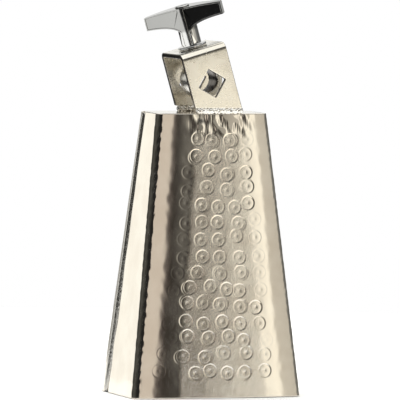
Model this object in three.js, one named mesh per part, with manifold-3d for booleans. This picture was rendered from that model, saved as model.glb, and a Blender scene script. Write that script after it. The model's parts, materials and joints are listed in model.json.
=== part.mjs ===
// A mountable cowbell. A tapered bell of two sheet-metal shells and a crown plate carries a leaning
// bracket of bent strap. A square rod passes through the diamond holes in the bracket's two legs,
// and an eye bolt between them clamps it when the T-shaped nut on top is turned.
//
// Millimetres. The origin is the centre of the mouth, +Z is up and the hammered front faces -Y.

import * as THREE from 'three';
import { mergeVertices } from 'three/addons/utils/BufferGeometryUtils.js';
import Module from 'manifold-3d';

const wasm = await Module();
wasm.setup();

// ---------------------------------------------------------------- driving dimensions

// The bell
const BELL_HEIGHT = 152;
const MOUTH_WIDTH = 96.6;
const MOUTH_DEPTH = 64;
const CROWN_WIDTH = 63.5;
const CROWN_DEPTH = 33.4;
const SHEET = 1.2;
const FRONT_CORNER_RADIUS = 4;
const REAR_CORNER_RADIUS_AT_MOUTH = 7;
const REAR_CORNER_RADIUS_AT_CROWN = 4.5;
const CROWNING_AT_MOUTH = 2.6;
const CROWNING_AT_CROWN = 1.5;
const SEAM_FROM_REAR_AT_MOUTH = 15;
const SEAM_FROM_REAR_AT_CROWN = 8.5;
const SEAM_BEAD_WIDTH = 1.6;
const SEAM_BEAD_PROUD = 0.3;
const CROWN_PLATE_THICKNESS = 1.5;

// The bracket
const STRAP_WIDTH = 25.8;
const STRAP_THICKNESS = 2.5;
const BRACKET_HEIGHT = 36.5;
const BRACKET_BEND_RADIUS = 3.6;
const BRACKET_LEAN = THREE.MathUtils.degToRad(16.5);
const BRACKET_OFFSET = 3.6;
const ROD_HOLE_SIDE = 11.3;
const ROD_HOLE_CORNER_RADIUS = 1;
const ROD_HOLE_HEIGHT = 17;
const BRACKET_WELD_HEIGHT = 2.2;
const BRACKET_WELD_PROUD = 0.6;

// The clamp
const THREAD_DIAMETER = 6;
const THREAD_PITCH = 1;
const EYE_BORE = 13;
const EYE_WALL = 3.4;
const EYE_DEPTH = 13.6;
const EYE_LIFT = 1.2;
const EYE_TRAVEL_UP = 3;
const WASHER_DIAMETER = 15.6;
const WASHER_THICKNESS = 1.2;
const BUSH_BARREL_WALL = 2.1;
const BUSH_BARREL_HEIGHT = 10.5;
const BUSH_NECK_WALL = 0.6;
const BUSH_CAP_PROUD = 0.9;
const BUSH_CAP_WALL = 0.8;

// The T-shaped handle
const HANDLE_TURN = THREE.MathUtils.degToRad(-32);
const HANDLE_SPAN = 43;
const HANDLE_HEIGHT = 21;
const HANDLE_CENTRE_THICKNESS = 14.4;
const HANDLE_TIP_THICKNESS = 5;
const HANDLE_TIP_HEIGHT = 7;
const HANDLE_ARM_DEPTH = 13;
const HANDLE_TOP_ARCH = 1.5;
const HANDLE_ARM_HOLLOW = 3.6;
const HANDLE_STEM_WIDTH = 5.6;
const HANDLE_SPINE_WIDTH = 1.8;

// Fits
const GAP = 0.3;
const THREAD_CLEARANCE = 0.3;
const HOLE_CLEARANCE = 0.6;
const ARC_STEPS = 6;
const ROUND_STEPS = 48;

// ---------------------------------------------------------------- finishes

const hammeredPlate = new THREE.MeshStandardMaterial({
  name: 'hammered_plate', color: 0xc9bda6, roughness: 0.3, metalness: 1,
});
const bracketPlate = new THREE.MeshStandardMaterial({
  name: 'bracket_plate', color: 0xd8cdb4, roughness: 0.35, metalness: 1,
});
const weldMetal = new THREE.MeshStandardMaterial({
  name: 'weld_metal', color: 0xe0dbd0, roughness: 0.45, metalness: 1,
});
const brightChrome = new THREE.MeshStandardMaterial({
  name: 'bright_chrome', color: 0xd9d9d6, roughness: 0.1, metalness: 1,
});
const zincSteel = new THREE.MeshStandardMaterial({
  name: 'zinc_steel', color: 0x8f8c86, roughness: 0.3, metalness: 1,
});

// ---------------------------------------------------------------- solids

// A geometry with shared vertices, as a manifold solid.
function toSolid(geometry) {
  const bare = geometry.clone();
  bare.deleteAttribute('normal');
  bare.deleteAttribute('uv');
  const merged = mergeVertices(bare, 1e-4);
  return new wasm.Manifold(new wasm.Mesh({
    numProp: 3,
    vertProperties: new Float32Array(merged.attributes.position.array),
    triVerts: new Uint32Array(merged.index.array),
  }));
}

// A manifold solid, as a geometry.
function toGeometry(solid) {
  const mesh = solid.getMesh();
  const geometry = new THREE.BufferGeometry();
  geometry.setAttribute('position', new THREE.BufferAttribute(mesh.vertProperties, 3));
  geometry.setIndex(new THREE.BufferAttribute(mesh.triVerts, 1));
  return geometry;
}

// The body with each tool cut away.
function cut(body, ...tools) {
  return toGeometry(tools.reduce((solid, tool) => solid.subtract(toSolid(tool)), toSolid(body)));
}

// A closed body between two loops of points, which have the same number of points.
function loft(lowLoop, highLoop) {
  const count = lowLoop.length;
  const positions = [...lowLoop, ...highLoop].flatMap((point) => point.toArray());
  const flatLow = lowLoop.map((point) => new THREE.Vector2(point.x, point.y));
  const caps = THREE.ShapeUtils.triangulateShape(flatLow, []);
  const index = [];
  for (let i = 0; i < count; i += 1) {
    const next = (i + 1) % count;
    index.push(i, next, count + next, i, count + next, count + i);
  }
  for (const [a, b, c] of caps) {
    index.push(a, c, b);
    index.push(count + a, count + b, count + c);
  }
  const geometry = new THREE.BufferGeometry();
  geometry.setAttribute('position', new THREE.Float32BufferAttribute(positions, 3));
  geometry.setIndex(index);
  return geometry;
}

// An extrusion of a shape drawn in X and Z, centred on Y = 0.
function extrudeAlongY(shape, depth, curveSegments = ARC_STEPS) {
  const geometry = new THREE.ExtrudeGeometry(shape, { depth, bevelEnabled: false, curveSegments });
  geometry.translate(0, 0, -depth / 2);
  geometry.rotateX(Math.PI / 2);
  return geometry;
}

// A body of revolution about Z, from [radius, height] points that start and end on the axis.
function lathe(points) {
  const profile = points.map(([radius, height]) => new THREE.Vector2(radius, height));
  const geometry = new THREE.LatheGeometry(profile, ROUND_STEPS);
  geometry.rotateX(Math.PI / 2);
  return geometry;
}

function addMesh(parent, name, geometry, material) {
  const mesh = new THREE.Mesh(geometry, material);
  mesh.name = name;
  parent.add(mesh);
  return mesh;
}

// ---------------------------------------------------------------- the bell's cross-section

// The cross-section at a share of the height, 0 at the mouth and 1 at the crown. The front and rear
// walls fall back by `crowning` from their middle to their corners.
function sectionAt(share) {
  const width = THREE.MathUtils.lerp(MOUTH_WIDTH, CROWN_WIDTH, share);
  const depth = THREE.MathUtils.lerp(MOUTH_DEPTH, CROWN_DEPTH, share);
  const fromRear = THREE.MathUtils.lerp(SEAM_FROM_REAR_AT_MOUTH, SEAM_FROM_REAR_AT_CROWN, share);
  const rearCorner = THREE.MathUtils.lerp(REAR_CORNER_RADIUS_AT_MOUTH, REAR_CORNER_RADIUS_AT_CROWN, share);
  const crowning = THREE.MathUtils.lerp(CROWNING_AT_MOUTH, CROWNING_AT_CROWN, share);
  return { halfWidth: width / 2, halfDepth: depth / 2, seamY: depth / 2 - fromRear, rearCorner, crowning };
}

// Points of a quarter arc about a centre, from one angle to another.
function arcPoints(centreX, centreY, radius, fromAngle, toAngle) {
  const points = [];
  for (let i = 0; i <= ARC_STEPS; i += 1) {
    const angle = THREE.MathUtils.lerp(fromAngle, toAngle, i / ARC_STEPS);
    points.push([centreX + radius * Math.cos(angle), centreY + radius * Math.sin(angle)]);
  }
  return points;
}

// The open line of a shell's wall on its right side, round the middle and up its left side.
// `facing` is -1 for the front shell and 1 for the rear shell, and `inset` moves the line inwards.
function wallLine(share, facing, inset) {
  const { halfWidth, halfDepth, seamY, rearCorner, crowning } = sectionAt(share);
  const cornerRadius = facing < 0 ? FRONT_CORNER_RADIUS : rearCorner;
  const radius = cornerRadius - inset;
  const cornerX = halfWidth - cornerRadius;
  const cornerY = facing * (halfDepth - cornerRadius);
  const startY = seamY + facing * (SEAM_BEAD_WIDTH / 2 + GAP);
  const right = arcPoints(cornerX, cornerY, radius, 0, facing * Math.PI / 2);
  const middle = [];
  for (let i = 1; i < ARC_STEPS; i += 1) {
    const across = 1 - 2 * i / ARC_STEPS;
    const y = facing * (halfDepth - inset);
    middle.push([across * cornerX, y - facing * crowning * (across * across)]);
  }
  const lowered = right.map(([x, y], i) => [x, y - facing * crowning * (i / ARC_STEPS)]);
  const left = lowered.map(([x, y]) => [-x, y]).reverse();
  return [[halfWidth - inset, startY], ...lowered, ...middle, ...left, [inset - halfWidth, startY]];
}

function shellLoop(share, facing) {
  const outer = wallLine(share, facing, 0);
  const inner = wallLine(share, facing, SHEET).reverse();
  const loop = [...outer, ...inner].map(([x, y]) => new THREE.Vector3(x, y, share * BELL_HEIGHT));
  return facing < 0 ? loop.reverse() : loop;
}

function shell(facing) {
  return loft(shellLoop(0, facing), shellLoop(1, facing));
}

// The bead that fills the seam between the two shells on one side, a little proud of them.
function seamBead(side) {
  const loopAt = (share) => {
    const { halfWidth, seamY } = sectionAt(share);
    const outer = side * (halfWidth + SEAM_BEAD_PROUD);
    const inner = side * (halfWidth - SHEET);
    const halfFoot = SEAM_BEAD_WIDTH / 2;
    const halfTop = SEAM_BEAD_WIDTH / 4;
    const corners = [
      [inner, seamY - halfFoot],
      [outer, seamY - halfTop],
      [outer, seamY + halfTop],
      [inner, seamY + halfFoot],
    ];
    const loop = corners.map(([x, y]) => new THREE.Vector3(x, y, share * BELL_HEIGHT));
    return side > 0 ? loop : loop.reverse();
  };
  return loft(loopAt(0), loopAt(1));
}

// The plate that closes the top, set down between the two shells.
function crownPlate() {
  const inset = SHEET + GAP;
  const front = wallLine(1, -1, inset).slice(1, -1);
  const rear = wallLine(1, 1, inset).slice(1, -1);
  const outline = [...rear, ...front.reverse()];
  const loopAt = (height) => outline.map(([x, y]) => new THREE.Vector3(x, y, height));
  return loft(loopAt(BELL_HEIGHT - CROWN_PLATE_THICKNESS), loopAt(BELL_HEIGHT));
}

const bell = new THREE.Group();
addMesh(bell, 'front_shell', shell(-1), hammeredPlate);
addMesh(bell, 'rear_shell', shell(1), hammeredPlate);
addMesh(bell, 'seam_weld_right', seamBead(1), weldMetal);
addMesh(bell, 'seam_weld_left', seamBead(-1), weldMetal);
addMesh(bell, 'crown_plate', crownPlate(), hammeredPlate);

// ---------------------------------------------------------------- the bracket

// The bracket and the clamp share a frame that leans to the left. Its origin is on the crown, its Z
// runs up the clamp's axis and its Y is the bell's.
const lean = new THREE.Matrix4().makeRotationY(-BRACKET_LEAN);
lean.setPosition(BRACKET_OFFSET, 0, BELL_HEIGHT);

const footHeight = GAP + BRACKET_WELD_HEIGHT + GAP;
const legWidthAcross = STRAP_WIDTH / Math.cos(BRACKET_LEAN);

// The strap's side view, drawn in Y and Z: an upside-down U with rounded bends.
function strapOutline() {
  const half = CROWN_DEPTH / 2;
  const inside = half - STRAP_THICKNESS;
  const innerRadius = BRACKET_BEND_RADIUS - STRAP_THICKNESS;
  const bendHeight = BRACKET_HEIGHT - BRACKET_BEND_RADIUS;
  const bottom = -STRAP_WIDTH * Math.tan(BRACKET_LEAN);
  const shape = new THREE.Shape();
  shape.moveTo(half, bottom);
  shape.lineTo(half, bendHeight);
  shape.absarc(half - BRACKET_BEND_RADIUS, bendHeight, BRACKET_BEND_RADIUS, 0, Math.PI / 2, false);
  shape.absarc(BRACKET_BEND_RADIUS - half, bendHeight, BRACKET_BEND_RADIUS, Math.PI / 2, Math.PI, false);
  shape.lineTo(-half, bottom);
  shape.lineTo(-inside, bottom);
  shape.lineTo(-inside, bendHeight);
  shape.absarc(innerRadius - inside, bendHeight, innerRadius, Math.PI, Math.PI / 2, true);
  shape.absarc(inside - innerRadius, bendHeight, innerRadius, Math.PI / 2, 0, true);
  shape.lineTo(inside, bottom);
  shape.closePath();
  return shape;
}

// A square with rounded corners, standing on one corner.
function diamondShape(side, cornerRadius) {
  const shape = new THREE.Shape();
  const half = side / 2 - cornerRadius;
  for (let i = 0; i < 4; i += 1) {
    const turn = Math.PI / 4 + i * Math.PI / 2;
    const reach = Math.SQRT2 * half;
    const angle = turn + Math.PI / 4;
    const x = reach * Math.cos(angle);
    const y = reach * Math.sin(angle);
    shape.absarc(x, y, cornerRadius, turn, turn + Math.PI / 2, false);
  }
  shape.closePath();
  return shape;
}

function bracket() {
  const strap = new THREE.ExtrudeGeometry(strapOutline(), {
    depth: STRAP_WIDTH, bevelEnabled: false, curveSegments: ARC_STEPS,
  });
  strap.translate(0, 0, -STRAP_WIDTH / 2);
  strap.rotateX(Math.PI / 2);
  strap.rotateZ(Math.PI / 2);
  const rodHole = extrudeAlongY(diamondShape(ROD_HOLE_SIDE, ROD_HOLE_CORNER_RADIUS), 2 * CROWN_DEPTH);
  rodHole.translate(0, 0, ROD_HOLE_HEIGHT);
  const boltHole = lathe([
    [0, BRACKET_HEIGHT - 2 * STRAP_THICKNESS],
    [THREAD_DIAMETER / 2 + HOLE_CLEARANCE, BRACKET_HEIGHT - 2 * STRAP_THICKNESS],
    [THREAD_DIAMETER / 2 + HOLE_CLEARANCE, BRACKET_HEIGHT + STRAP_THICKNESS],
    [0, BRACKET_HEIGHT + STRAP_THICKNESS],
  ]);
  const leaning = [strap, rodHole, boltHole].map((geometry) => geometry.applyMatrix4(lean));
  const belowFeet = new THREE.BoxGeometry(4 * STRAP_WIDTH, 2 * CROWN_DEPTH, STRAP_WIDTH);
  belowFeet.translate(BRACKET_OFFSET, 0, BELL_HEIGHT + footHeight - STRAP_WIDTH / 2);
  return cut(...leaning, belowFeet);
}

// The weld under one foot of the bracket: a bar with a rounded outer face along the crown's edge.
function footWeld(facing) {
  const outer = CROWN_DEPTH / 2;
  const inner = outer - STRAP_THICKNESS;
  const shape = new THREE.Shape();
  shape.moveTo(inner, 0);
  shape.lineTo(outer - BRACKET_WELD_PROUD, 0);
  shape.quadraticCurveTo(outer + BRACKET_WELD_PROUD, BRACKET_WELD_HEIGHT / 2, outer, BRACKET_WELD_HEIGHT);
  shape.lineTo(inner, BRACKET_WELD_HEIGHT);
  shape.quadraticCurveTo(inner - 2 * BRACKET_WELD_PROUD, BRACKET_WELD_HEIGHT / 2, inner, 0);
  shape.closePath();
  const bar = new THREE.ExtrudeGeometry(shape, {
    depth: legWidthAcross, bevelEnabled: false, curveSegments: ARC_STEPS,
  });
  bar.translate(0, 0, -legWidthAcross / 2);
  bar.rotateX(Math.PI / 2);
  bar.rotateZ(facing * Math.PI / 2);
  bar.translate(BRACKET_OFFSET, 0, BELL_HEIGHT + GAP);
  return bar;
}

addMesh(bell, 'mount_bracket', bracket(), bracketPlate);
addMesh(bell, 'bracket_weld_front', footWeld(-1), weldMetal);
addMesh(bell, 'bracket_weld_rear', footWeld(1), weldMetal);

// ---------------------------------------------------------------- the clamp

const clamp = new THREE.Group();
clamp.rotation.y = -BRACKET_LEAN;
clamp.position.set(BRACKET_OFFSET, 0, BELL_HEIGHT);

const washerBottom = BRACKET_HEIGHT + GAP;
const washerTop = washerBottom + WASHER_THICKNESS;
const handleBottom = washerTop + GAP;
const handleTop = handleBottom + HANDLE_HEIGHT;
const capTop = handleTop + BUSH_CAP_PROUD;
const boreTop = capTop - BUSH_CAP_WALL;
const shankTop = boreTop - EYE_TRAVEL_UP - GAP;
const threadRadius = THREAD_DIAMETER / 2;
const boreRadius = threadRadius + THREAD_CLEARANCE;
const barrelRadius = boreRadius + BUSH_BARREL_WALL;
const neckRadius = boreRadius + BUSH_NECK_WALL;

// The eye that the rod passes through, with a bore along Y, and the threaded shank above it.
function eyeBolt() {
  const centre = ROD_HOLE_HEIGHT + EYE_LIFT;
  const outerRadius = EYE_BORE / 2 + EYE_WALL;
  const ring = new THREE.CylinderGeometry(outerRadius, outerRadius, EYE_DEPTH, ROUND_STEPS);
  const bore = new THREE.CylinderGeometry(EYE_BORE / 2, EYE_BORE / 2, 2 * EYE_DEPTH, ROUND_STEPS);
  ring.translate(0, 0, centre);
  bore.translate(0, 0, centre);
  const chamfer = THREAD_PITCH / 2;
  const shank = lathe([
    [0, centre],
    [threadRadius, centre],
    [threadRadius, shankTop - chamfer],
    [threadRadius - chamfer, shankTop],
    [0, shankTop],
  ]);
  return toGeometry(toSolid(ring).add(toSolid(shank)).subtract(toSolid(bore)));
}

function washer() {
  const inner = threadRadius + HOLE_CLEARANCE;
  const outer = WASHER_DIAMETER / 2;
  const edge = WASHER_THICKNESS / 4;
  return lathe([
    [inner, washerBottom],
    [outer - edge, washerBottom],
    [outer, washerBottom + edge],
    [outer, washerTop - edge],
    [outer - edge, washerTop],
    [inner, washerTop],
    [inner, washerBottom],
  ]);
}

// The outer profile of the nut bush, as [radius, height] points: a barrel, a neck and a cap.
function bushProfile(clearance) {
  const barrel = barrelRadius + clearance;
  const neck = neckRadius + clearance;
  const shoulder = handleBottom + BUSH_BARREL_HEIGHT + clearance;
  return [
    [barrel, handleBottom],
    [barrel, shoulder],
    [neck, shoulder],
    [neck, capTop - BUSH_CAP_PROUD / 2],
    [neck - BUSH_CAP_PROUD, capTop],
  ];
}

// The threaded bush that the handle is cast around, with a blind bore for the shank.
function nutBush() {
  return lathe([
    [0, boreTop],
    [boreRadius, boreTop],
    [boreRadius, handleBottom],
    ...bushProfile(0),
    [0, capTop],
  ]);
}

// The handle seen from the front: two arms that narrow to their tips, over a stem.
function handleFront() {
  const tip = HANDLE_SPAN / 2;
  const stem = HANDLE_STEM_WIDTH / 2;
  const tipTop = handleTop - HANDLE_TOP_ARCH;
  const tipBottom = tipTop - HANDLE_TIP_HEIGHT;
  const armBottom = handleTop - HANDLE_ARM_DEPTH;
  const shape = new THREE.Shape();
  shape.moveTo(-stem, handleBottom);
  shape.lineTo(stem, handleBottom);
  shape.lineTo(stem, armBottom);
  shape.quadraticCurveTo(stem + HANDLE_ARM_HOLLOW, tipBottom, tip, tipBottom);
  shape.lineTo(tip, tipTop);
  shape.quadraticCurveTo(tip / 2, handleTop, 0, handleTop);
  shape.quadraticCurveTo(-tip / 2, handleTop, -tip, tipTop);
  shape.lineTo(-tip, tipBottom);
  shape.quadraticCurveTo(-stem - HANDLE_ARM_HOLLOW, tipBottom, -stem, armBottom);
  shape.closePath();
  return shape;
}

// The handle's plan, from above: a long lozenge with narrow flats at the spines and at the tips.
function handlePlan() {
  const tip = HANDLE_SPAN / 2;
  const flat = HANDLE_SPINE_WIDTH / 2;
  const thick = HANDLE_CENTRE_THICKNESS / 2;
  const thin = HANDLE_TIP_THICKNESS / 2;
  const corners = [[tip, thin], [flat, thick], [-flat, thick], [-tip, thin]];
  const opposite = corners.map(([x, y]) => [-x, -y]);
  return new THREE.Shape([...corners, ...opposite].map(([x, y]) => new THREE.Vector2(x, y)));
}

function handle() {
  const front = extrudeAlongY(handleFront(), 2 * HANDLE_CENTRE_THICKNESS, 2 * ARC_STEPS);
  const plan = new THREE.ExtrudeGeometry(handlePlan(), { depth: 2 * handleTop, bevelEnabled: false });
  const pocket = lathe([
    [0, handleBottom - GAP],
    [barrelRadius + GAP, handleBottom - GAP],
    ...bushProfile(GAP).slice(1, -1),
    [neckRadius + GAP, capTop + GAP],
    [0, capTop + GAP],
  ]);
  const solid = toSolid(front).intersect(toSolid(plan)).subtract(toSolid(pocket));
  return toGeometry(solid);
}

addMesh(clamp, 'eye_bolt', eyeBolt(), zincSteel);
addMesh(clamp, 'flat_washer', washer(), brightChrome);
addMesh(clamp, 'nut_bush', nutBush(), brightChrome);
const turnedHandle = addMesh(clamp, 't_handle', handle(), brightChrome);
turnedHandle.rotation.z = HANDLE_TURN;

const cowbell = new THREE.Group();
cowbell.add(bell, clamp);

export default cowbell;
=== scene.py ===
"""A mountable cowbell with a ring-stamped front, a leaning strap bracket and a T-shaped clamp nut.

Metres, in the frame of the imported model: +Z up, the mouth on the floor and the hammered front at -Y.
"""
import json
import math
import random

import bmesh
import bpy
import numpy as np
from mathutils import Matrix, Vector


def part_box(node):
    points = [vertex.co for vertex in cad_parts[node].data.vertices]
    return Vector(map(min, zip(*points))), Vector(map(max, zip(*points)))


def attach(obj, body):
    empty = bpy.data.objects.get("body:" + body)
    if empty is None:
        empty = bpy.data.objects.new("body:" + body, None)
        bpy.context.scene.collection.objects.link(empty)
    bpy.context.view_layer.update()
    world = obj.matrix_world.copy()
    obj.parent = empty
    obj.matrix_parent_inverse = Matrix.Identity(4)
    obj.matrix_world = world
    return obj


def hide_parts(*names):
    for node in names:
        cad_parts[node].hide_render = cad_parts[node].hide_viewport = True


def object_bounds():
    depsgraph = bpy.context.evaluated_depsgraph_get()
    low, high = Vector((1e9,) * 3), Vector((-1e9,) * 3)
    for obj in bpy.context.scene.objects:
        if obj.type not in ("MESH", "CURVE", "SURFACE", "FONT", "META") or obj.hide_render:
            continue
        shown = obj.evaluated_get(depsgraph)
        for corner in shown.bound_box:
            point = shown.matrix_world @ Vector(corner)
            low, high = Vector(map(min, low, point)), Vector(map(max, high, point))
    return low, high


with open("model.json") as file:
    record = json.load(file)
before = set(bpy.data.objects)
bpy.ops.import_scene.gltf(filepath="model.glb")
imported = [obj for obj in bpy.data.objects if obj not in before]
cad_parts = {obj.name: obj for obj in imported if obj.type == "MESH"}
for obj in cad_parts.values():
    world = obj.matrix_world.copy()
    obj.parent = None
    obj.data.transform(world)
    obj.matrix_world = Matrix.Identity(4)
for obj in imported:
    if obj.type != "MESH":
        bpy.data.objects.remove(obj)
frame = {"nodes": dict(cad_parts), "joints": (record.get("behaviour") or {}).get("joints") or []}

cad_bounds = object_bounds()
MM = 0.001

# ---------------------------------------------------------------- sizes, from the frame

_, front_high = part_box("front_shell")
_, rear_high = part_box("rear_shell")
_, plate_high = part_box("crown_plate")
eye_low, eye_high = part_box("eye_bolt")

SHEET = 1.2 * MM
PLATE_GAP = 0.3 * MM
BELL_HEIGHT = front_high[2]
MOUTH_HALF_WIDTH = front_high[0]
MOUTH_HALF_DEPTH = rear_high[1]
CROWN_HALF_WIDTH = plate_high[0] + SHEET + PLATE_GAP
CROWN_HALF_DEPTH = plate_high[1] + SHEET + PLATE_GAP
FRONT_CORNER_RADIUS = 4 * MM
REAR_CORNER_RADIUS_AT_MOUTH = 7 * MM
REAR_CORNER_RADIUS_AT_CROWN = 4.5 * MM
WALL_CROWNING_AT_MOUTH = 1.8 * MM
WALL_CROWNING_AT_CROWN = 0.7 * MM
WALL_ROLL_DROP = 0.8 * MM
WALL_ROLL_AT_MOUTH = 15 * MM
WALL_ROLL_AT_CROWN = 12.5 * MM
WALL_ROLL_POWER = 2.3
REAR_FLANGE_TILT = math.radians(6)
SEAM_FROM_REAR_AT_MOUTH = 15 * MM
SEAM_FROM_REAR_AT_CROWN = 8.5 * MM
SEAM_HALF_WIDTH = 1.1 * MM

joints = {joint["name"]: joint for joint in frame["joints"]}
clamp_axis = Vector(joints["nut_turn"]["axis"]).normalized()
nut_point = Vector(joints["nut_turn"]["pos_m"])

STRAP_WIDTH = 25.8 * MM
STRAP_THICKNESS = 2.5 * MM
BRACKET_HEIGHT = 36.5 * MM
BRACKET_BEND_RADIUS = 3.6 * MM
ROD_HOLE_SIDE = 11.3 * MM
ROD_HOLE_CORNER_RADIUS = 1 * MM
ROD_HOLE_HEIGHT = 17 * MM
FOOT_HEIGHT = 2.8 * MM
BOLT_HOLE_RADIUS = 3.6 * MM
STRAP_EDGE_RADIUS = 0.42 * MM
FOOT_BEAD_RADIUS = 1.75 * MM

THREAD_RADIUS = 3 * MM
THREAD_PITCH = 1 * MM
THREAD_DEPTH = 0.55 * MM
THREAD_REACH = 17 * MM
EYE_BORE_RADIUS = 6.5 * MM
EYE_WALL = 3.4 * MM
EYE_EDGE_RADIUS = 0.9 * MM
EYE_HEIGHT = ROD_HOLE_HEIGHT + 1.2 * MM
EYE_HALF_DEPTH = (eye_high[1] - eye_low[1]) / 2
CLEARANCE = 0.3 * MM
WASHER_THICKNESS = 1.2 * MM
WASHER_RADIUS = 7.8 * MM
WASHER_BORE_RADIUS = 3.6 * MM
WASHER_EDGE_RADIUS = 0.35 * MM

HANDLE_TURN = math.radians(-32)
HANDLE_HALF_SPAN = 21.5 * MM
HANDLE_HEIGHT = 21 * MM
HANDLE_HALF_THICK = 7.2 * MM
HANDLE_HALF_THIN = 2.5 * MM
HANDLE_TIP_HEIGHT = 7 * MM
HANDLE_ARM_DEPTH = 13 * MM
HANDLE_TOP_ARCH = 1.5 * MM
HANDLE_ARM_HOLLOW = 3.6 * MM
HANDLE_HALF_STEM = 2.8 * MM
HANDLE_HALF_SPINE = 0.9 * MM
HANDLE_EDGE_RADIUS = 0.13 * MM
SMALLEST_PANEL = 100 * MM * MM
PANEL_FRAME = 0.6 * MM
PANEL_STEP = 0.16 * MM
PANEL_DEPTH = 0.3 * MM
BARREL_RADIUS = 5.4 * MM
BARREL_HEIGHT = 10.5 * MM
BARREL_EDGE_RADIUS = 0.35 * MM
NECK_RADIUS = 3.9 * MM
CAP_PROUD = 0.9 * MM
CAP_WALL = 0.8 * MM
CAP_EDGE_RADIUS = 0.7 * MM

# Heights up the clamp's axis, from the crown.
washer_bottom = BRACKET_HEIGHT + CLEARANCE
washer_top = washer_bottom + WASHER_THICKNESS
handle_bottom = washer_top + CLEARANCE
handle_top = handle_bottom + HANDLE_HEIGHT
arm_bottom = handle_top - HANDLE_ARM_DEPTH
cap_top = handle_top + CAP_PROUD

# The stamped zone of a wall: its middle, its half width at the mouth and at the crown, and its top.
STAMPED_CENTRE = 2.5 * MM
STAMPED_REACH = (24 * MM, 12 * MM)
STAMPED_FADE = 4 * MM
STAMPED_TOP = 137.5 * MM

# The clamp's own frame: its origin is where the clamp's axis meets the crown, and Z runs up the axis.
clamp_base = nut_point - clamp_axis * ((nut_point.z - BELL_HEIGHT) / clamp_axis.z)
lean = math.atan2(-clamp_axis.x, clamp_axis.z)
clamp_matrix = Matrix.Translation(clamp_base) @ Matrix.Rotation(-lean, 4, "Y")

# ---------------------------------------------------------------- small helpers


def lerp(a, b, t):
    return a + (b - a) * t


def smooth_step(low, high, value):
    t = np.clip((value - low) / (high - low), 0, 1)
    return t * t * (3 - 2 * t)


def new_piece(name, vertices, faces, body, material, nodes=()):
    """A mesh object from points and faces, riding on a body and standing for CAD nodes."""
    mesh = bpy.data.meshes.new(name)
    mesh.from_pydata([tuple(v) for v in vertices], [], [tuple(f) for f in faces])
    mesh.validate()
    mesh.update()
    piece = bpy.data.objects.new(name, mesh)
    bpy.context.scene.collection.objects.link(piece)
    finish_piece(piece, body, material, nodes)
    return piece


def finish_piece(piece, body, material, nodes=()):
    piece.data.materials.clear()
    piece.data.materials.append(material)
    for polygon in piece.data.polygons:
        polygon.use_smooth = True
    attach(piece, body)
    if nodes:
        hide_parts(*nodes)


def apply_modifiers(piece):
    """Turns the piece into its evaluated mesh, so that no modifier is left on it."""
    graph = bpy.context.evaluated_depsgraph_get()
    graph.update()
    evaluated = piece.evaluated_get(graph)
    mesh = bpy.data.meshes.new_from_object(evaluated)
    piece.modifiers.clear()
    piece.data = mesh


def value_noise(x, y, z, seed):
    """Smooth noise from -1 to 1 at points in three arrays: a sum of seeded sine waves."""
    wave = np.random.default_rng(seed)
    total = np.zeros_like(x)
    count = 14
    for _ in range(count):
        direction = wave.normal(size=3)
        direction /= np.linalg.norm(direction)
        rate = 2 * math.pi * wave.uniform(0.6, 1.5)
        phase = wave.uniform(0, 2 * math.pi)
        total += np.sin(rate * (direction[0] * x + direction[1] * y + direction[2] * z) + phase)
    return total / math.sqrt(count / 2) / 2

# ---------------------------------------------------------------- materials


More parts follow.
